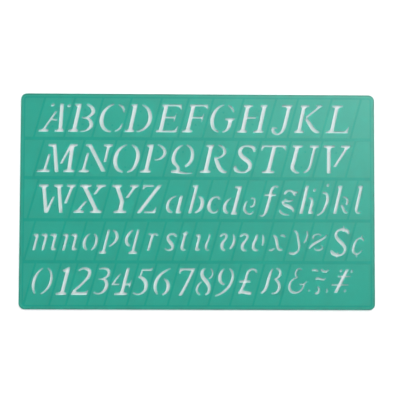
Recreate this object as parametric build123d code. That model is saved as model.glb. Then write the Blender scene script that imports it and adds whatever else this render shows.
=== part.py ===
from build123d import *
import math
import os

# A lettering stencil: one flat moulded sheet with slanted letters, numerals and signs cut through it.
# Millimetres. The origin is under the middle of the sheet, X runs along the rows, Y towards the top row.

# Sheet
SHEET_LONG = 250.0
SHEET_WIDE = 152.0
SHEET_THICK = 1.2
CORNER_RADIUS = 4.2
EDGE_ROUNDING = 0.4

# Raised grid on the underside, which keeps the sheet off wet ink
GRID_HIGH = 0.4
EDGE_LIP_WIDE = 1.0
RIM_RIB_WIDE = 0.9
RIM_RIB_INSET = 2.2
ROW_BAR_WIDE = 2.2
CELL_RIB_WIDE = 1.4
CELL_RIB_SLANT = 15.5
PIP_ACROSS = 1.3

# Lettering: the slant, the height of the capitals and the widths of the strokes
LETTER_SLANT = 12.0
CAPITAL = 20.0
THICK = 2.7
THIN = 1.9
HAIR = 1.1
ARM = 1.5
SERIF_TIP = 1.6
SERIF_RISE = 2.8

# Heights of the bars between the rows above the sheet's lower edge, from the top row down
ROW_BARS = (120.1, 92.3, 62.7, 33.3)

# Each row's baseline above the lower edge, and the feet of its slanted ribs from the left edge
ROW_BASELINES = (124.9, 96.3, 67.7, 41.3, 10.2)
CELL_RIB_FEET = (
    (9.1, 30.3, 50.1, 70.2, 91.5, 110.6, 128.0, 149.5, 172.5, 188.1, 212.0, 232.7),
    (9.2, 37.8, 60.3, 81.4, 100.2, 122.7, 146.7, 162.4, 183.6, 206.0, 229.3),
    (5.3, 34.0, 57.0, 78.5, 97.1, 113.2, 127.6, 139.0, 153.0, 165.8, 178.2, 192.8, 206.3, 215.3, 230.6),
    (3.2, 24.5, 39.3, 52.4, 67.4, 82.8, 95.1, 107.1, 116.7, 133.2, 148.6, 170.7, 185.2, 199.2, 212.9,
     228.9),
    (3.3, 21.3, 32.9, 47.5, 59.7, 75.5, 88.2, 104.1, 118.3, 132.5, 147.7, 163.9, 182.4),
)


class Pen:
    """Draws one letter upright, from its own left end and baseline, and leans it onto the sheet."""

    def __init__(self, left, baseline):
        self.left = left
        self.baseline = baseline
        self.shapes = []
        self.pips = []

    def at(self, x, y):
        lean = y * math.tan(math.radians(LETTER_SLANT))
        return Vector(self.left + x + lean - SHEET_LONG / 2, self.baseline + y - SHEET_WIDE / 2)

    def outline(self, start, *steps):
        """A shape with straight steps (x, y) and bent steps (bend x, bend y, x, y)."""
        edges = []
        here = self.at(*start)
        for step in steps + (start,):
            there = self.at(*step[-2:])
            if len(step) == 4:
                edges.append(Edge.make_bezier(here, self.at(*step[:2]), there))
            else:
                edges.append(Edge.make_line(here, there))
            here = there
        self.shapes.append(make_face(edges))

    def bar(self, foot, head, wide, foot_serif=(0, 0), head_serif=(0, 0)):
        """A straight stroke cut level at both ends, with serifs that reach to the left and right."""
        slope = (head[0] - foot[0]) / (head[1] - foot[1])
        corners = ((foot, 1, -1, foot_serif[0]), (foot, 1, 1, foot_serif[1]),
                   (head, -1, 1, head_serif[1]), (head, -1, -1, head_serif[0]))
        path = []
        for inward, (end, up, side, reach) in zip((True, False, True, False), corners):
            edge = end[0] + side * wide / 2
            corner = (edge + side * reach, end[1])
            tip = (corner[0], end[1] + up * SERIF_TIP)
            bend = (edge + slope * up * SERIF_TIP, tip[1])
            joint = (edge + slope * up * SERIF_RISE, end[1] + up * SERIF_RISE)
            if not reach:
                path.append(corner)
            elif inward:
                path += [joint, bend + tip, corner]
            else:
                path += [corner, tip, bend + joint]
        self.outline(*path)

    def arm(self, start, end, outer, inner, tip):
        """A level arm between two heights, whose free end turns to a point."""
        way = math.copysign(1, end - start)
        self.outline((start, outer), (start, inner), (end - 3.2 * way, inner),
                     (end - 1.1 * way, inner, tip[0] - 0.4 * way, tip[1]),
                     (tip[0] + 0.4 * way, tip[1]), (end, outer))

    def barb(self, root, low, high):
        """The two-pointed serif at the end of a middle arm."""
        self.outline((root[0] - 1.2, root[1] + 0.7), (root[0], root[1] + 0.8, high[0] - 0.3, high[1]),
                     (high[0] + 0.3, high[1]), (root[0] + 0.5, root[1], low[0] + 0.3, low[1]),
                     (low[0] - 0.3, low[1]), (root[0], root[1] - 0.8, root[0] - 1.2, root[1] - 0.7))

    def stroke(self, *nodes):
        """A pen stroke through nodes (x, y, width), smooth along both sides and cut square."""
        middle = [Vector(x, y) for x, y, wide in nodes]
        runs = [after - before for before, after in zip(middle, middle[1:])]
        headings = []
        for before, after in zip(runs, runs[1:]):
            heading = before * (after.length / before.length) + after * (before.length / after.length)
            headings.append(heading.normalized())
        if headings:
            first = mirrored(headings[0], runs[0])
            last = mirrored(headings[-1], runs[-1])
            headings = [first] + headings + [last]
        else:
            headings = [runs[0].normalized()] * 2
        left = []
        right = []
        for point, heading, (x, y, wide) in zip(middle, headings, nodes):
            aside = Vector(-heading.Y, heading.X) * (wide / 2)
            left.append(self.at(point.X + aside.X, point.Y + aside.Y))
            right.append(self.at(point.X - aside.X, point.Y - aside.Y))
        right.reverse()
        self.shapes.append(make_face([side_line(left), Edge.make_line(left[-1], right[0]),
                                      side_line(right), Edge.make_line(right[-1], left[0])]))

    def dot(self, x, y, wide, high):
        """An oval."""
        bend = 0.5523
        quarters = []
        for out_x, out_y in ((1, 0), (0, 1), (-1, 0), (0, -1)):
            next_x, next_y = -out_y, out_x
            bends = ((out_x, out_y), (out_x + bend * next_x, out_y + bend * next_y),
                     (next_x + bend * out_x, next_y + bend * out_y), (next_x, next_y))
            quarters.append(Edge.make_bezier(*[self.at(x + px * wide / 2, y + py * high / 2)
                                               for px, py in bends]))
        self.shapes.append(make_face(quarters))

    def pip(self, x, y):
        """A small round pip under the sheet."""
        self.pips.append(self.at(x, y))


def mirrored(heading, run):
    """The heading at the far end of an arc that runs this way."""
    along = run.normalized()
    return along * (2 * along.dot(heading)) - heading


def side_line(points):
    if len(points) == 2:
        return Edge.make_line(*points)
    return Edge.make_spline(points)


# Top row

def capital_a_with_dots(pen):
    pen.bar((3.1, 0), (10.0, 14.7), 1.8, (1.7, 3.4))
    pen.stroke((7.4, 8.9, 1.4), (12.1, 8.3, 1.2))
    pen.bar((15.9, 0), (12.8, CAPITAL), 2.6, (2.8, 1.0))
    pen.dot(6.6, 19.0, 2.7, 2.3)
    pen.dot(18.1, 18.5, 2.6, 2.3)
    pen.pip(10.6, 11.2)
    pen.pip(9.8, 3.8)


def capital_b(pen):
    pen.bar((4.4, 0), (4.4, CAPITAL), THICK, (2.6, 1.5), (1.7, 0))
    pen.stroke((9.3, 19.5, HAIR), (12.6, 18.0, 1.9), (15.0, 14.5, THICK), (13.4, 11.4, 1.9),
               (7.9, 10.4, HAIR))
    pen.stroke((10.4, 10.2, HAIR), (13.6, 8.6, 1.8), (15.7, 4.9, THICK), (13.8, 1.7, 1.8),
               (9.0, 0.6, HAIR))
    pen.pip(9.0, 15.6)
    pen.pip(9.5, 5.3)


def capital_c(pen):
    pen.stroke((8.8, 19.6, HAIR), (4.5, 17.4, 1.9), (2.1, 12.2, 2.6), (2.3, 7.6, THICK), (4.6, 3.2, 2.1),
               (10.6, 0.3, HAIR))
    pen.stroke((11.8, 19.4, 1.0), (15.0, 17.8, 1.5), (16.9, 13.9, 1.0))
    pen.stroke((13.2, 0.6, HAIR), (16.0, 2.2, 1.5), (17.3, 5.9, HAIR))
    pen.pip(10.6, 4.6)


def capital_d(pen):
    pen.bar((3.9, 0), (3.9, CAPITAL), THICK, (2.2, 1.5), (1.4, 0))
    pen.stroke((8.6, 19.4, HAIR), (13.4, 16.2, 1.9), (16.3, 9.6, THICK), (14.3, 3.2, 2.0), (8.6, 0.6, HAIR))
    pen.pip(8.5, 14.6)
    pen.pip(9.0, 4.8)


def capital_e(pen):
    pen.bar((3.5, 0), (3.7, CAPITAL), THICK, (2.0, 0), (1.5, 0))
    pen.arm(3.6, 14.4, CAPITAL, CAPITAL - ARM, (15.0, 16.0))
    pen.outline((3.6, 9.9), (10.6, 9.9), (10.6, 11.3), (3.6, 11.3))
    pen.barb((11.6, 10.6), (11.4, 7.4), (12.0, 13.4))
    pen.arm(3.6, 15.0, 0, ARM, (14.8, 4.3))
    pen.pip(7.5, 15.1)
    pen.pip(7.9, 5.7)


def capital_f(pen):
    pen.bar((3.4, 0), (4.0, CAPITAL), THICK, (2.3, 2.1), (1.4, 0))
    pen.arm(3.8, 14.0, CAPITAL, CAPITAL - ARM, (14.7, 16.2))
    pen.outline((3.7, 9.9), (11.0, 9.9), (11.0, 11.3), (3.7, 11.3))
    pen.barb((12.1, 10.6), (12.1, 7.4), (12.5, 13.4))
    pen.pip(9.0, 15.1)
    pen.pip(8.4, 5.2)


def capital_g(pen):
    pen.stroke((8.6, 19.6, HAIR), (4.8, 17.8, 1.8), (2.5, 13.0, 2.5), (2.4, 8.2, 2.6), (4.2, 3.6, 2.1),
               (8.6, 0.5, HAIR))
    pen.stroke((11.3, 19.4, HAIR), (14.2, 17.7, 1.5), (16.5, 14.4, 1.0))
    pen.bar((15.2, 5.6), (15.1, 10.4), THICK, head_serif=(2.4, 1.6))
    pen.stroke((15.2, 6.4, THICK), (15.1, 4.2, 2.5), (13.9, 1.8, 1.8), (11.2, 0.6, HAIR))
    pen.pip(9.2, 14.2)


def capital_h(pen):
    pen.bar((4.4, 0), (4.6, CAPITAL), THICK, (2.3, 1.8), (1.7, 2.1))
    pen.outline((4.5, 10.0), (12.0, 10.0), (12.0, 11.4), (4.5, 11.4))
    pen.bar((16.2, 0), (16.3, CAPITAL), THICK, (2.6, 1.7), (1.5, 0.8))
    pen.pip(13.0, 15.3)
    pen.pip(10.5, 5.8)


def capital_j(pen):
    pen.bar((9.5, 6.0), (9.9, CAPITAL), 2.6, head_serif=(4.0, 0.8))
    pen.stroke((9.5, 8.0, 2.6), (9.4, 4.6, 2.6), (8.3, 0.9, 2.0), (5.5, -1.0, 1.3), (2.8, 0.4, 2.0),
               (1.5, 3.1, 1.8))
    pen.outline((0.7, 3.0), (4.5, 2.7), (4.5, 3.9), (0.7, 4.3))


def capital_k(pen):
    pen.bar((3.3, 0), (3.4, CAPITAL), 2.6, (1.8, 2.3), (1.3, 2.4))
    pen.outline((6.0, 11.6), (6.9, 10.4), (15.0, 18.2), (15.4, 18.7, 16.3, 18.7), (16.3, CAPITAL),
                (11.6, CAPITAL), (11.6, 18.9), (13.2, 18.9, 13.1, 18.4))
    pen.stroke((6.5, 10.2, 2.0), (10.8, 5.4, 2.5), (14.7, 1.6, 2.4), (18.2, 0.6, 1.1))


def capital_l(pen):
    pen.bar((4.7, 0), (4.9, CAPITAL), THICK, (2.7, 0), (2.3, 2.7))
    pen.arm(4.8, 16.2, 0, ARM, (16.2, 4.7))


# Second row

def capital_m(pen):
    pen.bar((5.8, 0), (6.9, 12.8), THIN, (4.0, 2.9))
    pen.bar((14.7, 0), (8.8, CAPITAL), 2.6, head_serif=(2.8, 0))
    pen.bar((16.5, 6.0), (20.9, CAPITAL), 2.0)
    pen.bar((23.2, 0), (21.5, CAPITAL), THICK, (2.5, 2.2), (0, 2.4))
    pen.pip(10.6, 6.0)


def capital_n(pen):
    pen.bar((4.1, 0), (4.8, 13.8), THIN, (2.0, 3.1))
    pen.bar((18.5, 0.6), (4.4, CAPITAL), 2.9, head_serif=(0.9, 0))
    pen.bar((18.0, 7.3), (18.2, CAPITAL), THIN, head_serif=(2.6, 1.9))
    pen.pip(12.6, 14.6)
    pen.pip(9.2, 5.0)


def capital_o(pen):
    pen.stroke((8.0, 19.5, 1.0), (4.4, 17.6, 1.9), (2.0, 12.8, 2.6), (2.2, 7.6, THICK), (4.2, 3.2, 2.1),
               (9.2, 0.4, HAIR))
    pen.stroke((11.4, 19.4, HAIR), (14.9, 17.1, 1.8), (17.3, 12.2, 2.6), (17.3, 7.2, 2.6), (15.9, 2.7, 2.0),
               (12.2, 0.4, HAIR))
    pen.pip(7.6, 15.8)
    pen.pip(10.2, 3.6)


def capital_p(pen):
    pen.bar((5.4, 0), (5.5, CAPITAL), THICK, (2.8, 1.9), (1.9, 0))
    pen.stroke((9.5, 19.5, HAIR), (13.6, 17.7, 1.6), (15.9, 14.0, 2.2), (14.4, 10.6, 1.7), (9.6, 9.3, HAIR))
    pen.pip(10.6, 15.0)


def capital_q(pen):
    pen.stroke((7.6, 19.5, 1.0), (4.1, 17.1, 2.0), (2.6, 11.9, 2.4), (4.1, 6.8, 2.3), (7.3, 3.8, 2.0),
               (7.7, 1.2, 2.4))
    pen.stroke((3.1, 0.8, 1.7), (6.5, 0.8, 2.2), (10.0, 0.1, 1.7), (14.0, -0.4, 1.2), (18.2, -0.2, 1.0))
    pen.stroke((10.0, 19.6, HAIR), (14.0, 16.8, 1.7), (15.8, 11.9, 2.3), (15.1, 7.6, 2.3), (12.0, 4.6, 1.6))
    pen.pip(8.6, 14.6)


def capital_r(pen):
    pen.bar((4.4, 0), (4.5, CAPITAL), THICK, (2.6, 2.2), (2.0, 0.6))
    pen.stroke((9.4, 19.5, HAIR), (13.2, 17.9, 1.6), (15.1, 14.8, 2.2), (13.8, 12.0, 1.6),
               (8.6, 11.0, HAIR))
    pen.stroke((9.2, 10.6, 1.8), (12.0, 6.0, 2.6), (15.4, 1.8, 2.4), (19.4, 0.6, HAIR))
    pen.pip(10.0, 15.3)
    pen.pip(9.7, 3.4)


def capital_s(pen):
    pen.stroke((13.1, 14.9, 1.4), (11.6, 18.0, 2.2), (7.2, 19.3, 1.5), (3.6, 18.0, 2.1), (2.8, 15.0, 2.5),
               (5.0, 11.7, 2.8), (9.5, 8.6, 2.9), (12.1, 5.2, 2.7), (11.1, 1.8, 2.0), (7.2, 0.5, 1.3),
               (3.0, 1.9, 2.3), (1.6, 5.1, 1.4))
    pen.pip(8.5, 14.6)
    pen.pip(6.0, 5.2)


def capital_t(pen):
    pen.arm(9.3, 0.4, CAPITAL, CAPITAL - ARM, (1.0, 15.9))
    pen.arm(9.3, 17.2, CAPITAL, CAPITAL - ARM, (17.9, 16.1))
    pen.bar((8.7, 0), (9.5, CAPITAL), THICK, (3.0, 3.0))
    pen.pip(13.8, 14.6)


def capital_u(pen):
    pen.bar((4.3, 8.0), (4.8, CAPITAL), THICK, head_serif=(2.2, 2.3))
    pen.stroke((4.4, 10.0, THICK), (4.1, 6.4, THICK), (4.5, 3.4, 2.5), (6.5, 1.3, 1.8), (9.9, 0.4, 1.1))
    pen.bar((16.7, 8.0), (17.1, CAPITAL), THIN, head_serif=(2.8, 2.0))
    pen.stroke((16.8, 10.0, THIN), (16.7, 6.2, THIN), (15.7, 2.6, 1.7), (12.8, 0.6, 1.0))
    pen.pip(11.0, 15.0)
    pen.pip(10.5, 4.2)


def capital_v(pen):
    pen.bar((8.9, 0), (4.8, CAPITAL), THICK, head_serif=(2.2, 3.1))
    pen.bar((12.0, 4.6), (18.7, CAPITAL), 2.1, head_serif=(4.2, 0.6))
    pen.pip(11.0, 14.6)


# Third row

def capital_w(pen):
    pen.bar((9.6, 0), (3.5, CAPITAL), 2.6, head_serif=(1.7, 2.4))
    pen.bar((9.8, 0), (12.5, 11.4), 1.8)
    pen.bar((20.0, 0), (14.1, CAPITAL), 2.5, head_serif=(2.0, 1.9))
    pen.bar((21.7, 6.5), (24.1, CAPITAL), 2.0, head_serif=(3.0, 1.0))
    pen.pip(9.2, 15.0)
    pen.pip(14.7, 5.0)


def capital_x(pen):
    pen.bar((17.5, 0), (3.6, CAPITAL), 3.0, (3.7, 1.3), (0.8, 4.2))
    pen.bar((2.7, 0), (7.9, 8.4), 2.1, (0.9, 4.1))
    pen.bar((12.8, 13.1), (16.5, CAPITAL), 2.1, head_serif=(2.8, 1.9))
    pen.pip(11.4, 16.6)


def capital_y(pen):
    pen.bar((10.3, 8.2), (3.8, CAPITAL), 2.8, head_serif=(1.4, 2.5))
    pen.bar((10.3, 0), (10.3, 8.2), 2.8, (3.0, 3.0))
    pen.bar((13.2, 10.6), (17.7, CAPITAL), 2.0, head_serif=(3.2, 0.8))
    pen.pip(10.8, 15.2)


def capital_z(pen):
    pen.arm(8.2, 0.7, CAPITAL, CAPITAL - ARM, (1.3, 16.6))
    pen.bar((1.5, 0), (12.5, CAPITAL), 2.9)
    pen.arm(5.4, 13.4, 0, ARM, (12.9, 4.4))
    pen.pip(5.0, 15.6)
    pen.pip(8.7, 5.1)


def small_a(pen):
    pen.stroke((6.8, 12.0, HAIR), (3.4, 10.3, 1.5), (1.8, 6.5, 2.0), (2.8, 2.7, 2.0), (6.2, 0.6, HAIR))
    pen.bar((9.7, 0), (10.2, 12.4), 2.3, (0, 1.5))
    pen.pip(5.4, 6.1)


def small_b(pen):
    pen.bar((2.6, 0), (3.5, CAPITAL), 2.1, head_serif=(1.7, 0))
    pen.stroke((6.2, 11.9, 1.0), (9.0, 9.9, 2.0), (10.1, 6.1, 2.5), (8.9, 2.4, 2.1), (6.0, 0.5, 1.0))
    pen.pip(6.3, 6.4)


def small_c(pen):
    pen.stroke((8.5, 9.7, 1.5), (7.3, 11.4, 1.4), (4.9, 11.5, 1.4), (2.6, 9.2, 2.0), (2.0, 5.7, 2.3),
               (3.3, 2.2, 2.0), (6.1, 0.6, 1.3), (9.0, 2.7, 1.1))
    pen.pip(6.0, 6.0)


def small_d(pen):
    pen.stroke((5.7, 10.9, 1.0), (3.5, 8.9, 1.5), (2.3, 5.4, 2.1), (3.2, 1.9, 2.1), (5.7, 0.1, 1.1))
    pen.bar((9.4, -0.8), (10.4, 19.4), 2.4, (0.4, 1.4), (2.5, 0))
    pen.pip(5.6, 5.2)


def small_e(pen):
    pen.stroke((3.5, 8.8, 1.2), (2.4, 5.4, 1.6), (3.3, 1.8, 1.7), (6.0, -0.2, 1.2), (9.3, 1.5, HAIR))
    pen.stroke((5.5, 10.6, HAIR), (7.8, 10.4, 1.3), (8.9, 8.2, 1.4), (6.1, 4.9, HAIR))


def small_f(pen):
    pen.stroke((8.9, 18.4, 1.5), (7.2, 19.4, 1.4), (5.2, 17.8, 2.0), (4.8, 13.0, 2.2), (4.5, 6.0, 2.3),
               (4.0, 1.2, 2.1), (2.6, -1.4, 1.3), (0.2, -1.2, 1.0))
    pen.outline((0.6, 12.4), (8.6, 12.4), (8.6, 13.9), (0.6, 13.9))


def small_g(pen):
    pen.stroke((2.8, 13.5, 1.6), (3.4, 15.5, 1.8), (5.6, 16.4, 1.5), (8.3, 15.2, 1.7), (10.2, 12.5, 1.1))
    pen.outline((8.2, 14.7), (11.7, 14.3), (11.7, 15.7), (8.2, 16.0))
    pen.stroke((3.8, 10.7, HAIR), (4.6, 9.3, 1.5), (7.0, 8.8, 1.3), (9.4, 10.0, 1.0))
    pen.stroke((4.6, 9.2, 1.2), (2.8, 7.5, 1.8), (5.0, 6.0, 2.1), (8.8, 4.5, 2.2), (10.8, 2.9, 1.6),
               (11.4, 1.2, 1.1))
    pen.stroke((1.8, 3.0, 1.1), (2.7, 1.0, 1.5), (5.2, -0.4, 1.3), (8.7, -0.7, 1.0))
    pen.pip(6.5, 12.9)


def small_h(pen):
    pen.bar((2.1, 0), (2.6, CAPITAL), 2.3)
    pen.stroke((5.2, 10.7, 1.0), (7.0, 10.8, 1.5), (8.3, 8.6, 2.1), (8.3, 5.2, 2.1), (8.2, 2.0, 2.1))
    pen.bar((8.1, 0), (8.2, 4.0), 2.1, (0, 1.3))
    pen.dot(8.3, 16.7, 2.1, 2.4)
    pen.pip(5.2, 6.0)


def small_j(pen):
    pen.dot(4.0, 20.2, 2.1, 2.5)
    pen.stroke((1.4, 14.8, 1.5), (4.1, 14.2, 1.7), (5.6, 11.5, 2.1), (5.4, 5.5, 2.0), (3.9, 1.3, 1.5),
               (0.6, -1.0, HAIR))


def small_k(pen):
    pen.bar((2.0, 0), (2.4, CAPITAL), 2.3, head_serif=(1.0, 0))
    pen.stroke((5.3, 11.8, 1.0), (7.9, 11.1, 1.3), (9.2, 9.0, 1.7), (8.4, 6.6, 1.4))
    pen.stroke((5.2, 6.2, 1.4), (7.4, 3.5, 1.8), (9.3, 1.2, 1.6), (10.9, 0.7, HAIR))
    pen.pip(5.6, 9.0)


def small_l(pen):
    pen.bar((2.6, 6.0), (2.9, CAPITAL), 2.2, head_serif=(1.1, 0))
    pen.stroke((2.6, 7.0, 2.2), (2.6, 5.0, 2.2), (2.7, 2.9, 2.1), (3.8, 1.0, 1.5), (6.0, 1.2, HAIR))


# Fourth row

def sprung_stem(pen, x, lean_in=2.6):
    """A stem that springs from a short stroke at its upper left."""
    pen.outline((x - 1.3, 0), (x + 0.6, 0), (x + 0.9, 9.6), (x + 0.9, 11.8, x - 0.8, 11.8),
                (x - lean_in, 11.6), (x - lean_in - 0.3, 10.3), (x - 1.1, 10.3, x - 0.9, 8.6))


def tailed_stem(pen, x, lean_in=3.4):
    """A sprung stem that ends in a tail to the right."""
    pen.outline((x - 1.2, 2.0), (x - 1.2, 0, x + 0.4, 0), (x + 2.4, 0.3), (x + 2.4, 1.3),
                (x + 0.7, 1.4, x + 0.7, 3.0), (x + 0.9, 9.6), (x + 0.9, 11.8, x - 0.8, 11.8),
                (x - lean_in, 11.6), (x - lean_in - 0.3, 10.3), (x - 1.1, 10.3, x - 0.9, 8.6))


def small_m(pen):
    sprung_stem(pen, 3.4)
    sprung_stem(pen, 9.7, 3.2)
    tailed_stem(pen, 16.1)
    pen.pip(6.1, 5.0)


def small_n(pen):
    sprung_stem(pen, 3.3)
    tailed_stem(pen, 9.6)
    pen.pip(6.1, 5.0)


def small_o(pen):
    pen.stroke((4.2, 11.6, 1.0), (2.0, 9.6, 1.6), (1.3, 6.0, 2.0), (2.2, 2.4, 1.8), (4.4, 0.4, 1.0))
    pen.stroke((7.0, 11.6, HAIR), (9.0, 9.4, 1.5), (9.7, 5.8, 1.9), (9.0, 2.5, 1.6), (7.2, 0.4, HAIR))
    pen.pip(5.5, 6.4)


def small_p(pen):
    pen.bar((3.1, -2.2), (3.6, 14.6), 1.8, (2.0, 1.1))
    pen.stroke((6.6, 14.2, HAIR), (9.3, 12.3, 1.7), (10.5, 8.9, 2.1), (9.3, 5.5, 1.6), (6.2, 3.1, HAIR))
    pen.pip(6.9, 8.8)


def small_q(pen):
    pen.stroke((5.6, 14.3, 1.3), (3.4, 12.1, 1.8), (2.3, 8.6, 2.0), (3.3, 5.2, 1.9), (6.0, 3.3, 1.1))
    pen.bar((8.6, -2.3), (9.3, 14.8), 1.8, (1.8, 2.2))
    pen.pip(5.6, 8.2)


def small_r(pen):
    pen.outline((0.8, 11.4), (3.4, 10.4), (4.0, 11.6), (1.2, 12.6))
    pen.bar((3.4, 0), (4.0, 11.4), 1.8)
    pen.stroke((3.8, 10.8, 1.3), (5.9, 11.7, 1.4), (7.6, 10.5, 1.5))


def small_s(pen):
    pen.stroke((6.9, 9.8, 1.3), (5.1, 11.6, 1.5), (2.4, 11.5, 1.5), (1.1, 9.6, 1.8), (2.6, 6.9, 2.1),
               (5.2, 4.2, 2.1), (6.1, 1.9, 1.8), (3.9, 0.5, 1.2), (0.9, 1.8, 1.2))


def small_t(pen):
    pen.bar((2.5, 5.0), (2.9, 12.4), 1.8)
    pen.outline((0.4, 11.7), (2.4, 11.3), (4.0, 11.3), (5.0, 12.3), (3.3, 13.9))
    pen.stroke((2.6, 6.0, 1.8), (2.5, 4.2, 1.9), (2.6, 2.2, 2.1), (3.6, 0.8, 1.5), (5.3, 0.9, 0.9))


def small_u(pen):
    tailed_stem(pen, 3.2, 2.4)
    pen.stroke((9.9, 11.8, 1.5), (9.7, 6.4, 1.5), (9.5, 2.2, 1.5), (10.3, 0.8, 1.1), (12.0, 0.8, 0.8))
    pen.pip(6.6, 6.4)


def small_v(pen):
    pen.stroke((1.0, 10.0, 1.4), (2.0, 11.4, 1.6), (3.8, 11.8, 1.5), (5.2, 10.4, 1.7), (4.0, 7.0, 1.8),
               (3.4, 3.8, 2.1), (4.4, 1.4, 1.7), (6.5, 0.4, HAIR))
    pen.stroke((9.5, 11.8, 1.0), (11.1, 8.4, 1.6), (11.1, 4.8, 1.9), (9.3, 1.5, 1.4))


def small_w(pen):
    pen.stroke((1.1, 10.0, 1.4), (2.1, 11.3, 1.6), (4.0, 11.8, 1.5), (6.0, 10.4, 1.7), (5.0, 7.0, 1.8),
               (3.8, 3.8, 2.1), (4.6, 1.3, 1.8), (7.3, 0.4, HAIR))
    pen.stroke((12.3, 11.6, 1.5), (12.3, 8.4, 2.0), (11.4, 5.0, 1.9), (12.0, 2.0, 2.0), (15.4, 0.5, HAIR))
    pen.stroke((16.3, 11.6, 1.1), (17.8, 7.9, 1.6), (17.7, 3.8, 1.1))


def small_x(pen):
    pen.stroke((1.9, 11.2, 1.2), (3.8, 9.8, 1.8), (5.9, 5.4, 1.9), (8.0, 1.5, 1.8), (10.7, 1.0, HAIR))
    pen.stroke((7.1, 10.7, 1.1), (8.9, 11.1, 1.6), (10.7, 9.9, 1.1))
    pen.stroke((1.1, 0.7, 1.0), (3.0, 0.8, 1.5), (4.8, 2.1, 1.1))


def small_y(pen):
    pen.stroke((0.8, 14.4, 1.1), (3.0, 13.2, 1.5), (5.0, 9.0, 1.6), (6.9, 3.7, 1.7), (6.8, 0.2, 1.4),
               (4.2, -1.6, 1.8), (0.7, -0.9, 1.4))
    pen.stroke((10.0, 14.2, HAIR), (11.1, 11.2, 1.3), (10.9, 8.6, 1.3), (9.7, 5.9, HAIR))


def small_z(pen):
    pen.stroke((3.0, 8.6, 1.0), (2.5, 10.4, 1.2), (4.3, 11.9, 1.2), (7.8, 10.9, 1.0))
    pen.stroke((11.5, 11.5, 1.2), (10.0, 9.2, 1.5), (7.0, 7.2, 1.8), (3.6, 5.0, 1.8), (1.4, 1.8, 1.1))
    pen.stroke((4.9, 2.3, HAIR), (8.3, 0.8, 1.2), (10.5, 2.0, 1.2), (8.8, 4.2, 0.8))


def dollar_sign(pen):
    pen.stroke((11.1, 12.2, 1.2), (9.6, 14.3, 2.1), (6.3, 15.5, 1.9), (3.2, 14.7, 1.7), (2.1, 11.8, 2.0),
               (4.2, 8.5, 2.2), (8.2, 5.2, 2.3), (10.8, 1.4, 2.0), (9.6, -1.9, 1.5), (6.4, -2.7, 1.8),
               (2.9, -1.5, 2.3), (1.0, 0.8, 1.3))
    pen.outline((6.2, 13.8), (7.6, 13.8), (6.9, 17.9), (5.9, 17.9))
    pen.outline((5.2, -4.4), (6.2, -4.4), (6.9, -0.8), (5.7, -0.8))


def cent_sign(pen):
    pen.stroke((7.4, 7.2, 1.1), (6.2, 9.1, 1.3), (4.1, 9.2, 1.2), (2.2, 6.9, 1.6), (1.4, 3.0, 1.8),
               (2.0, -0.2, 1.7), (4.3, -1.9, 1.2), (6.4, -1.0, HAIR), (7.8, 1.0, 0.7))
    pen.outline((4.7, 9.0), (5.8, 9.0), (6.3, 11.4), (5.4, 11.4))
    pen.outline((4.3, -4.2), (5.2, -4.2), (5.3, -1.8), (4.2, -1.8))


# Bottom row

def figure_zero(pen):
    pen.stroke((6.0, 18.7, 1.0), (3.0, 15.2, 1.7), (1.6, 10.3, 2.2), (2.0, 5.3, 1.9), (4.2, 0.8, HAIR))
    pen.stroke((9.3, 18.6, HAIR), (12.2, 15.6, 1.4), (13.5, 10.5, 1.9), (12.4, 5.0, 1.7), (8.2, 0.6, 1.0))


def figure_one(pen):
    pen.outline((1.8, 17.2), (3.4, 15.8), (5.2, 16.3), (6.8, 16.0), (6.9, 19.4), (5.6, 19.4))
    pen.bar((5.0, 0), (5.6, 17.0), 2.5, (3.0, 1.8))


def figure_two(pen):
    pen.stroke((2.6, 16.8, 1.4), (4.6, 18.5, 1.5), (7.4, 18.4, 1.9), (9.9, 16.6, 2.2), (10.2, 13.5, 2.3),
               (8.2, 9.8, 1.9), (4.7, 5.5, 1.7), (1.9, 2.7, 1.6))
    pen.outline((0.5, 0), (11.5, 0), (12.1, 3.4), (11.5, 3.4), (11.0, 2.1, 8.6, 2.1), (4.2, 2.1),
                (2.6, 3.6), (1.1, 3.2))


def figure_three(pen):
    pen.stroke((1.5, 17.9, 1.1), (4.3, 18.7, 1.4), (7.6, 17.6, 1.8), (8.9, 14.8, 2.0), (7.2, 12.2, 1.4),
               (2.4, 11.3, 0.8))
    pen.stroke((4.5, 11.3, HAIR), (7.6, 10.0, 1.9), (9.1, 6.2, 2.4), (7.6, 2.4, 1.8), (4.5, 0.9, 1.1),
               (1.2, 2.0, 1.6))


def figure_four(pen):
    pen.stroke((5.2, 14.9, 1.0), (2.9, 11.3, 1.3), (1.3, 7.8, 1.4))
    pen.outline((0.3, 6.9), (5.9, 6.9), (5.9, 8.1), (0.8, 8.1))
    pen.bar((8.8, 0), (9.6, 19.0), 2.3, (3.9, 2.5))
    pen.outline((9.1, 6.9), (12.4, 6.9), (12.4, 8.2), (9.1, 8.2))
    pen.barb((13.2, 7.6), (13.2, 4.8), (13.7, 10.4))


def figure_five(pen):
    pen.outline((3.2, 16.9), (9.8, 16.9), (10.6, 17.0, 11.0, 19.4), (10.2, 19.2), (9.8, 18.4, 8.6, 18.4),
                (3.4, 18.4))
    pen.outline((2.6, 12.8), (3.9, 12.8), (4.6, 18.4), (3.4, 18.4))
    pen.stroke((1.9, 13.0, 1.2), (4.8, 11.9, 2.1), (7.9, 8.9, 2.5), (8.9, 5.2, 2.3), (7.5, 1.9, 1.6),
               (4.1, 0.6, 1.2), (0.8, 1.8, 1.4))


def figure_six(pen):
    pen.stroke((10.3, 18.7, 1.0), (6.1, 16.3, 1.6), (3.1, 12.6, 2.2), (2.0, 8.1, 2.3), (2.8, 3.8, 1.9),
               (5.2, 0.6, 1.0))
    pen.stroke((7.0, 11.4, 1.0), (9.9, 9.4, 1.8), (11.4, 5.9, 2.4), (10.7, 2.2, 1.9), (8.3, 0.4, 1.0))


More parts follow.
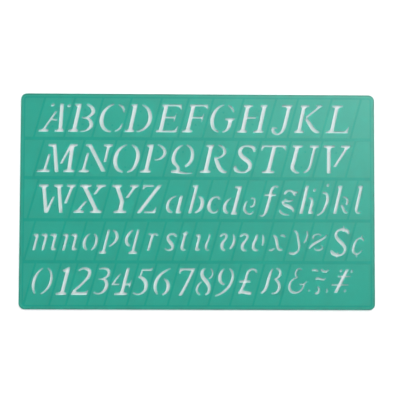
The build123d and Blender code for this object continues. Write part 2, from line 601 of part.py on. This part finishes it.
def figure_seven(pen):
    pen.arm(9.9, 0.9, 18.9, 17.4, (1.6, 15.1))
    pen.outline((9.3, 18.9), (11.7, 18.9), (9.6, 9.0, 6.2, -0.3), (3.9, -0.3), (7.6, 9.0, 9.3, 17.4))


def figure_eight(pen):
    pen.stroke((4.8, 18.7, 1.1), (3.0, 16.2, 2.1), (4.0, 13.0, 2.3), (7.2, 9.7, 2.4), (10.0, 6.0, 2.1),
               (10.5, 2.6, 1.9), (8.5, 0.5, 1.0))
    pen.stroke((8.3, 18.7, 0.8), (10.2, 16.6, 1.0), (10.5, 13.8, 1.2), (8.7, 11.7, 1.0))
    pen.stroke((4.3, 9.4, 1.0), (2.1, 6.6, 1.5), (2.1, 3.3, 1.5), (5.0, 0.5, HAIR))


def figure_nine(pen):
    pen.stroke((4.1, 18.6, 1.0), (2.3, 15.6, 1.9), (2.2, 12.3, 2.2), (3.6, 9.3, 1.8), (6.7, 7.7, HAIR))
    pen.stroke((7.7, 18.6, HAIR), (10.5, 15.6, 1.5), (11.3, 11.0, 1.9), (10.0, 6.3, 1.9), (7.0, 2.5, 1.7),
               (1.6, -0.4, 1.0))


def pound_sign(pen):
    pen.stroke((12.2, 15.8, 1.1), (10.6, 18.0, 1.4), (8.2, 18.3, 1.5), (6.3, 16.4, 1.8), (5.8, 12.5, 1.8),
               (5.0, 6.5, 1.9), (3.6, 2.4, 2.0))
    pen.outline((1.6, 8.9), (9.2, 8.9), (9.2, 10.6), (1.6, 10.6))
    pen.stroke((2.6, 1.6, 2.0), (5.2, 2.4, 2.2), (8.0, 2.0, 2.2), (11.8, 1.5, 2.0))


def sharp_s(pen):
    pen.stroke((6.1, 18.7, 1.2), (5.0, 14.5, 1.9), (4.6, 8.8, 2.2), (3.8, 4.0, 2.1), (1.4, 1.7, 1.4))
    pen.stroke((8.5, 18.9, HAIR), (11.2, 17.6, 1.5), (12.2, 15.0, 1.9), (11.2, 12.7, 1.5), (9.2, 11.2, 1.0))
    pen.stroke((8.8, 11.6, 1.1), (11.8, 9.4, 1.7), (13.5, 5.6, 2.1), (12.4, 2.5, 1.6), (8.8, 1.6, HAIR))


def ampersand_and_stop(pen):
    pen.stroke((7.6, 17.8, 1.0), (5.6, 18.8, 1.1), (3.9, 16.8, 1.2), (4.3, 14.3, 1.2), (6.0, 12.7, 1.0))
    pen.stroke((6.0, 12.8, 1.0), (3.3, 11.5, 1.2), (1.5, 8.4, 1.5), (1.9, 5.0, 1.7), (4.0, 2.6, 1.7),
               (7.0, 2.0, 1.4), (9.9, 3.3, 1.2), (11.3, 5.9, 1.1), (11.7, 8.2, 1.0), (13.3, 9.8, HAIR))
    pen.outline((8.2, 7.3), (11.6, 7.3), (11.6, 8.4), (8.2, 8.4))
    pen.dot(15.8, 3.6, 1.6, 1.6)


def accents_and_comma(pen):
    pen.stroke((0.8, 17.6, 1.1), (2.9, 18.0, 1.6), (5.6, 16.9, 1.0))
    pen.stroke((7.2, 18.7, HAIR), (8.9, 17.2, 1.4), (11.0, 16.9, 1.4), (12.4, 18.3, HAIR))
    pen.stroke((4.8, 11.3, 1.1), (6.7, 12.1, 1.7), (9.2, 11.4, 1.3), (11.9, 12.1, 1.0))
    pen.stroke((7.3, 6.3, HAIR), (8.6, 4.8, 1.3), (8.8, 2.9, 1.8), (7.6, 1.5, 1.5), (6.5, 2.1, 1.0))
    pen.stroke((14.0, 4.8, 0.8), (14.6, 3.3, 1.4), (14.2, 2.2, 1.0))


def strokes_with_dots(pen):
    pen.bar((4.9, 2.0), (9.9, 18.6), 2.4)
    pen.outline((4.0, 12.8), (13.2, 13.0), (13.2, 13.8), (4.0, 14.1))
    pen.outline((0.8, 6.9), (12.8, 7.1), (12.8, 7.9), (0.8, 8.2))
    pen.dot(5.6, 17.4, 1.9, 2.3)
    pen.dot(13.2, 17.1, 1.8, 2.3)
    pen.dot(11.2, 3.3, 1.8, 2.3)


# What each row holds, and how far from the sheet's left edge each sign starts
ROWS = (
    ((capital_a_with_dots, 11.9), (capital_b, 32.9), (capital_c, 52.9), (capital_d, 72.9),
     (capital_e, 94.9), (capital_f, 113.9), (capital_g, 130.9), (capital_h, 151.9), (capital_j, 175.9),
     (capital_k, 192.9), (capital_l, 214.9)),
    ((capital_m, 10.9), (capital_n, 39.9), (capital_o, 62.9), (capital_p, 82.9), (capital_q, 102.9),
     (capital_r, 125.9), (capital_s, 148.8), (capital_t, 165.8), (capital_u, 186.8), (capital_v, 208.8)),
    ((capital_w, 8.9), (capital_x, 36.9), (capital_y, 59.8), (capital_z, 81.8), (small_a, 100.8),
     (small_b, 116.8), (small_c, 129.8), (small_d, 140.7), (small_e, 154.7), (small_f, 168.8),
     (small_g, 180.8), (small_h, 195.8), (small_j, 208.8), (small_k, 219.8), (small_l, 233.8)),
    ((small_m, 7.0), (small_n, 28.0), (small_o, 43.0), (small_p, 56.0), (small_q, 71.0), (small_r, 87.0),
     (small_s, 101.0), (small_t, 111.0), (small_u, 121.0), (small_v, 138.0), (small_w, 152.0),
     (small_x, 174.0), (small_y, 189.0), (small_z, 202.0), (dollar_sign, 218.0), (cent_sign, 233.0)),
    ((figure_zero, 6.9), (figure_one, 24.9), (figure_two, 35.9), (figure_three, 50.9), (figure_four, 62.9),
     (figure_five, 78.9), (figure_six, 91.9), (figure_seven, 107.9), (figure_eight, 121.9),
     (figure_nine, 135.9), (pound_sign, 150.9), (sharp_s, 167.9), (ampersand_and_stop, 186.9),
     (accents_and_comma, 200.9), (strokes_with_dots, 216.9)),
)


def round_rectangle(inset):
    """The sheet's outline, set in from its edge."""
    radius = max(CORNER_RADIUS - inset, 0.8)
    return RectangleRounded(SHEET_LONG - 2 * inset, SHEET_WIDE - 2 * inset, radius)


# Letters: every sign's strokes joined into openings
openings = []
pips = []
for baseline, row in zip(ROW_BASELINES, ROWS):
    for draw, left in row:
        pen = Pen(left, baseline)
        draw(pen)
        openings += (Sketch() + pen.shapes).faces()
        pips += pen.pips

# Sheet with its openings and its rounded top edge
sheet = extrude(round_rectangle(0) - openings, SHEET_THICK)
top_face = sheet.faces().sort_by(Axis.Z)[-1]
sheet = fillet(top_face.outer_wire().edges(), EDGE_ROUNDING)

# Grid: the lip at the edge, the rib inside it, the bars between the rows and the slanted ribs
lip = round_rectangle(0) - round_rectangle(EDGE_LIP_WIDE)
rim_rib = round_rectangle(RIM_RIB_INSET) - round_rectangle(RIM_RIB_INSET + RIM_RIB_WIDE)
inside = RIM_RIB_INSET + RIM_RIB_WIDE / 2
grid = Sketch() + [lip, rim_rib]
for height in ROW_BARS:
    grid += Pos(0, height - SHEET_WIDE / 2) * Rectangle(SHEET_LONG - 2 * inside, ROW_BAR_WIDE)
row_edges = (SHEET_WIDE - inside,) + ROW_BARS + (inside,)
for high, low, feet in zip(row_edges, row_edges[1:], CELL_RIB_FEET):
    lean = (high - low) * math.tan(math.radians(CELL_RIB_SLANT))
    for foot in feet:
        left = foot - CELL_RIB_WIDE / 2 - SHEET_LONG / 2
        right = foot + CELL_RIB_WIDE / 2 - SHEET_LONG / 2
        bottom = low - SHEET_WIDE / 2
        top = high - SHEET_WIDE / 2
        grid += make_face(Polyline((left, bottom), (right, bottom), (right + lean, top),
                                   (left + lean, top), close=True))
grid -= openings
for place in pips:
    grid += Pos(place) * Circle(PIP_ACROSS / 2)

stencil_plate = Pos(Z=GRID_HIGH) * sheet + extrude(grid, GRID_HIGH)

os.makedirs("parts", exist_ok=True)
export_step(stencil_plate, "parts/stencil_plate.step")
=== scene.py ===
import math
import bpy
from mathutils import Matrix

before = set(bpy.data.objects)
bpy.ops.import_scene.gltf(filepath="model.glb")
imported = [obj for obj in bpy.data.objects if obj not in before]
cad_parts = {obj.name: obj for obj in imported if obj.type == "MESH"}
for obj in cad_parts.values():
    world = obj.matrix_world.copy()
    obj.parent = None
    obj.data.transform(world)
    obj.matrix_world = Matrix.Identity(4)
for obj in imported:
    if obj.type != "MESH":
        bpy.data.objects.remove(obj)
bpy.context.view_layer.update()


# The stencil plate: one sheet of clear green polystyrene, injection-moulded in one shot with its
# rim, ribs and letter slots. The dye is in the plastic, so the ribs look deeper than the sheet
# between them. The slots' pale walls are a painted glow of light leaking out of the plastic, the
# darker ring at their top edges is painted shade, and the dark band round the outer edge is partly
# its thicker lip and partly painted shade. Handling has left it faintly scratched.
SHEET_TINT = (0.138, 0.837, 0.71)
RIB_TINT = (0.046, 0.746, 0.624)
RIM_LIP_AND_SHADE_TINT = (0.08, 0.6, 0.48)
WALL_GLOW_TINT = (0.6, 1.0, 0.95)
EDGE_SHADE_TINT = (0.06, 0.5, 0.4)
EDGE_SHADE = 0.25
EDGE_SHADE_START = 0.998
EDGE_SHADE_FULL = 0.93
WALL_START = 0.7
WALL_FULL = 0.3
CLEARNESS = 0.95
SHEET_POLISH = 0.33
SCRATCH_POLISH = 0.45
PLASTIC_IOR = 1.5
PLATE_HALF_LONG = 0.125
PLATE_HALF_WIDE = 0.076
PLATE_CORNER = 0.0042
RIM_WIDE = 0.0007
RIM_FADE = 0.0002
EDGE_ROUNDING = 0.0003
ROUNDING_RAYS = 6
DEPTH_REACH = 0.0014
DEPTH_RAYS = 16
SHEET_SHUT_IN = 0.76
RIB_SHUT_IN = 0.95
DYE_CLOUD_SIZE = 0.03
DYE_CLOUD_MIDDLE = 0.5
DYE_CLOUD_DETAIL = 3
DYE_CLOUDS = 0.16
WAVE_SIZE = 0.012
WAVE_DETAIL = 1
WAVE_DEEP = 0.00002
SCRATCH_DEEP = 0.00001
SCRATCH_TURNS = (24, 71, -38)
SCRATCH_LONG = 0.05
SCRATCH_APART = 0.0011
SCRATCH_DETAIL = 2
SCRATCH_WOBBLE = 0.2
SCRATCH_START = 0.68
SCRATCH_FULL = 0.74
MIX_FACTOR = 0
MIX_FIRST_COLOUR = 6
MIX_SECOND_COLOUR = 7
MIX_RESULT_COLOUR = 2


def number_step(tree, operation, first, second):
    step = tree.nodes.new("ShaderNodeMath")
    step.operation = operation
    for socket, value in zip(step.inputs, (first, second)):
        if isinstance(value, (int, float)):
            socket.default_value = value
        else:
            tree.links.new(value, socket)
    return step.outputs["Value"]


def vector_step(tree, operation, first, second):
    step = tree.nodes.new("ShaderNodeVectorMath")
    step.operation = operation
    for socket, value in zip(step.inputs, (first, second)):
        if isinstance(value, tuple):
            socket.default_value = value
        else:
            tree.links.new(value, socket)
    return step.outputs["Value" if operation in ("LENGTH", "DOT_PRODUCT") else "Vector"]


def spread(tree, value, start, end):
    step = tree.nodes.new("ShaderNodeMapRange")
    step.inputs["From Min"].default_value = start
    step.inputs["From Max"].default_value = end
    tree.links.new(value, step.inputs["Value"])
    return step.outputs["Result"]


def blend_colour(tree, factor, first, second):
    step = tree.nodes.new("ShaderNodeMix")
    step.data_type = "RGBA"
    tree.links.new(factor, step.inputs[MIX_FACTOR])
    for place, value in ((MIX_FIRST_COLOUR, first), (MIX_SECOND_COLOUR, second)):
        if isinstance(value, tuple):
            step.inputs[place].default_value = (*value, 1)
        else:
            tree.links.new(value, step.inputs[place])
    return step.outputs[MIX_RESULT_COLOUR]


outline = bpy.data.node_groups.new("plate_outline", "ShaderNodeTree")
outline.interface.new_socket("Place", in_out="INPUT", socket_type="NodeSocketVector")
outline.interface.new_socket("Reach", in_out="OUTPUT", socket_type="NodeSocketFloat")
outline_in = outline.nodes.new("NodeGroupInput")
outline_out = outline.nodes.new("NodeGroupOutput")
corner_spot = (PLATE_HALF_LONG - PLATE_CORNER, PLATE_HALF_WIDE - PLATE_CORNER, 0)
flat = vector_step(outline, "MULTIPLY", outline_in.outputs["Place"], (1, 1, 0))
side = vector_step(outline, "ABSOLUTE", flat, (0, 0, 0))
past = vector_step(outline, "SUBTRACT", side, corner_spot)
outside = vector_step(outline, "MAXIMUM", past, (0, 0, 0))
round_part = vector_step(outline, "LENGTH", outside, (0, 0, 0))
past_parts = outline.nodes.new("ShaderNodeSeparateXYZ")
outline.links.new(past, past_parts.inputs["Vector"])
nearest = number_step(outline, "MAXIMUM", past_parts.outputs["X"], past_parts.outputs["Y"])
straight_part = number_step(outline, "MINIMUM", nearest, 0.0)
reach = number_step(outline, "ADD", round_part, straight_part)
outline.links.new(reach, outline_out.inputs["Reach"])

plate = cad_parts["stencil_plate"]
plastic = bpy.data.materials.new("clear_green_plastic")
plastic.use_nodes = True
tree = plastic.node_tree
surface = tree.nodes["Principled BSDF"]
surface.inputs["IOR"].default_value = PLASTIC_IOR
surface.inputs["Transmission Weight"].default_value = CLEARNESS
spot = tree.nodes.new("ShaderNodeTexCoord")
face = tree.nodes.new("ShaderNodeNewGeometry")

clouds = tree.nodes.new("ShaderNodeTexNoise")
clouds.inputs["Scale"].default_value = 1 / DYE_CLOUD_SIZE
clouds.inputs["Detail"].default_value = DYE_CLOUD_DETAIL
tree.links.new(spot.outputs["Object"], clouds.inputs["Vector"])
cloud_part = number_step(tree, "SUBTRACT", clouds.outputs["Fac"], DYE_CLOUD_MIDDLE)
cloud_part = number_step(tree, "MULTIPLY", cloud_part, DYE_CLOUDS)
shut_in = tree.nodes.new("ShaderNodeAmbientOcclusion")
shut_in.inside = True
shut_in.samples = DEPTH_RAYS
shut_in.inputs["Distance"].default_value = DEPTH_REACH
deep = spread(tree, shut_in.outputs["AO"], SHEET_SHUT_IN, RIB_SHUT_IN)
deep = number_step(tree, "ADD", deep, cloud_part)
tint = blend_colour(tree, deep, SHEET_TINT, RIB_TINT)

# Painted shade: near the rounded top edges of the slots and the plate, the colour is mixed towards
# a darker green, a painted dark ring along the edges.
rounded = tree.nodes.new("ShaderNodeBevel")
rounded.samples = ROUNDING_RAYS
rounded.inputs["Radius"].default_value = EDGE_ROUNDING
turned = vector_step(tree, "DOT_PRODUCT", rounded.outputs["Normal"], face.outputs["Normal"])
painted_edge_shade = spread(tree, turned, EDGE_SHADE_START, EDGE_SHADE_FULL)
painted_edge_shade = number_step(tree, "MULTIPLY", painted_edge_shade, EDGE_SHADE)
tint = blend_colour(tree, painted_edge_shade, tint, EDGE_SHADE_TINT)
# Painted light: upright faces, the slots' walls, are mixed towards a pale mint, a painted glow of
# light leaking out of the plastic.
face_parts = tree.nodes.new("ShaderNodeSeparateXYZ")
tree.links.new(face.outputs["Normal"], face_parts.inputs["Vector"])
level = number_step(tree, "ABSOLUTE", face_parts.outputs["Z"], 0.0)
painted_wall_glow = spread(tree, level, WALL_START, WALL_FULL)
tint = blend_colour(tree, painted_wall_glow, tint, WALL_GLOW_TINT)
# A band round the plate's outer edge, as wide as its lip, is mixed towards a deeper green. This is
# partly the lip's thicker dyed plastic and partly painted shade, where the rounded edge would look
# dark.
border = tree.nodes.new("ShaderNodeGroup")
border.node_tree = outline
tree.links.new(spot.outputs["Object"], border.inputs["Place"])
rim_start = PLATE_CORNER - RIM_WIDE
rim_lip_and_shade = spread(tree, border.outputs["Reach"], rim_start, rim_start + RIM_FADE)
tint = blend_colour(tree, rim_lip_and_shade, tint, RIM_LIP_AND_SHADE_TINT)
tree.links.new(tint, surface.inputs["Base Color"])

scratched = 0.0
for turn in SCRATCH_TURNS:
    laid = tree.nodes.new("ShaderNodeMapping")
    laid.inputs["Rotation"].default_value = (0, 0, math.radians(turn))
    along, across = 1 / SCRATCH_LONG, 1 / SCRATCH_APART
    laid.inputs["Scale"].default_value = (along, across, along)
    laid.inputs["Location"].default_value = (turn, turn, turn)
    tree.links.new(spot.outputs["Object"], laid.inputs["Vector"])
    lines = tree.nodes.new("ShaderNodeTexNoise")
    lines.inputs["Scale"].default_value = 1
    lines.inputs["Detail"].default_value = SCRATCH_DETAIL
    lines.inputs["Distortion"].default_value = SCRATCH_WOBBLE
    tree.links.new(laid.outputs["Vector"], lines.inputs["Vector"])
    marks = spread(tree, lines.outputs["Fac"], SCRATCH_START, SCRATCH_FULL)
    scratched = number_step(tree, "ADD", scratched, marks)
polish = tree.nodes.new("ShaderNodeMapRange")
polish.inputs["To Min"].default_value = SHEET_POLISH
polish.inputs["To Max"].default_value = SCRATCH_POLISH
tree.links.new(scratched, polish.inputs["Value"])
tree.links.new(polish.outputs["Result"], surface.inputs["Roughness"])

waves = tree.nodes.new("ShaderNodeTexNoise")
waves.inputs["Scale"].default_value = 1 / WAVE_SIZE
waves.inputs["Detail"].default_value = WAVE_DETAIL
tree.links.new(spot.outputs["Object"], waves.inputs["Vector"])
wave_bump = tree.nodes.new("ShaderNodeBump")
wave_bump.inputs["Distance"].default_value = WAVE_DEEP
tree.links.new(waves.outputs["Fac"], wave_bump.inputs["Height"])
tree.links.new(rounded.outputs["Normal"], wave_bump.inputs["Normal"])
scratch_bump = tree.nodes.new("ShaderNodeBump")
scratch_bump.invert = True
scratch_bump.inputs["Distance"].default_value = SCRATCH_DEEP
tree.links.new(scratched, scratch_bump.inputs["Height"])
tree.links.new(wave_bump.outputs["Normal"], scratch_bump.inputs["Normal"])
tree.links.new(scratch_bump.outputs["Normal"], surface.inputs["Normal"])
for place in plate.material_slots:
    place.material = plastic


# The table under the plate: a smooth, matt white board. Beside the plate it glows faintly, and more
# so far away, to look as white as paper in full light. Under the plate hardly any glow is left:
# painted shade on the table there.
TABLE_TINT = (0.87, 0.86, 0.875)
TABLE_GLOW = 0.3
GLOW_IN_PAINTED_SHADE = 0.05
FAR_GLOW = 0.7
FAR_START = 0.25
FAR_END = 1.6
TABLE_ACROSS = 6
TABLE_CELLS = 8
TABLE_GAP = 0.0001
SHADE_INSET = 0.0003
WHITE = (1, 1, 1, 1)

bpy.ops.mesh.primitive_grid_add(
    x_subdivisions=TABLE_CELLS,
    y_subdivisions=TABLE_CELLS,
    size=TABLE_ACROSS,
    location=(0, 0, -TABLE_GAP),
)
table = bpy.context.object
table.name = "white_table"
board = bpy.data.materials.new("white_board")
board.use_nodes = True
tree = board.node_tree
surface = tree.nodes["Principled BSDF"]
surface.inputs["Base Color"].default_value = (*TABLE_TINT, 1)
surface.inputs["Roughness"].default_value = 1
surface.inputs["Specular IOR Level"].default_value = 0
surface.inputs["Emission Color"].default_value = WHITE
ray = tree.nodes.new("ShaderNodeLightPath")
seen = number_step(tree, "MAXIMUM", ray.outputs["Is Camera Ray"], ray.outputs["Is Glossy Ray"])
seen = number_step(tree, "MAXIMUM", seen, ray.outputs["Is Transmission Ray"])
spot = tree.nodes.new("ShaderNodeTexCoord")
border = tree.nodes.new("ShaderNodeGroup")
border.node_tree = outline
tree.links.new(spot.outputs["Object"], border.inputs["Place"])
# Painted shade: inside the plate's footprint the glow drops almost to nothing, so the table seen
# through the slots and the sheet is darker.
outside_painted_shade = number_step(tree, "GREATER_THAN", border.outputs["Reach"], PLATE_CORNER - SHADE_INSET)
outside_painted_shade = number_step(tree, "MAXIMUM", outside_painted_shade, GLOW_IN_PAINTED_SHADE)
near = number_step(tree, "MULTIPLY", outside_painted_shade, TABLE_GLOW)
far = spread(tree, border.outputs["Reach"], FAR_START, FAR_END)
far = number_step(tree, "MULTIPLY", far, FAR_GLOW)
glow = number_step(tree, "ADD", near, far)
glow = number_step(tree, "MULTIPLY", glow, seen)
tree.links.new(glow, surface.inputs["Emission Strength"])
table.data.materials.append(board)


# Light: a dim white room with three broad soft lamps round the table, none straight above it. The
# lamp at the back right throws a faint milky sheen on the plate's far and right edges.
ROOM_LIGHT = 0.305
LAMPS = (
    ("lamp_back_right", (0.43, 0.52, 0.95), 0.9, 9.15),
    ("lamp_left", (-0.95, 0.35, 0.75), 0.7, 4.5),
    ("lamp_front", (-0.1, -1.0, 0.8), 0.7, 3.0),
)

world = bpy.data.worlds.new("room")
bpy.context.scene.world = world
world.use_nodes = True
tree = world.node_tree
tree.nodes["Background"].inputs["Color"].default_value = WHITE
tree.nodes["Background"].inputs["Strength"].default_value = ROOM_LIGHT
for name, place, across, power in LAMPS:
    lamp = bpy.data.lights.new(name, "AREA")
    lamp.size = across
    lamp.energy = power
    holder = bpy.data.objects.new(name, lamp)
    bpy.context.scene.collection.objects.link(holder)
    holder.location = place
    aim = holder.location.to_track_quat("Z", "Y")
    holder.rotation_euler = aim.to_euler()


# Camera: almost straight above the plate, a little nearer its lower left corner.
CAMERA_PLACE = (-0.00904, -0.03042, 0.66606)
CAMERA_TURN = (2.7073, -0.9289, 0.2009)
CAMERA_LENS = 85
CAMERA_SENSOR = 36
CAMERA_NEAREST = 0.01

camera = bpy.data.cameras.new("camera")
camera.lens = CAMERA_LENS
camera.sensor_width = CAMERA_SENSOR
camera.sensor_fit = "HORIZONTAL"
camera.clip_start = CAMERA_NEAREST
camera_holder = bpy.data.objects.new("camera", camera)
bpy.context.scene.collection.objects.link(camera_holder)
camera_holder.location = CAMERA_PLACE
camera_holder.rotation_euler = [math.radians(turn) for turn in CAMERA_TURN]
bpy.context.scene.camera = camera_holder
bpy.context.scene.view_settings.view_transform = "Standard"
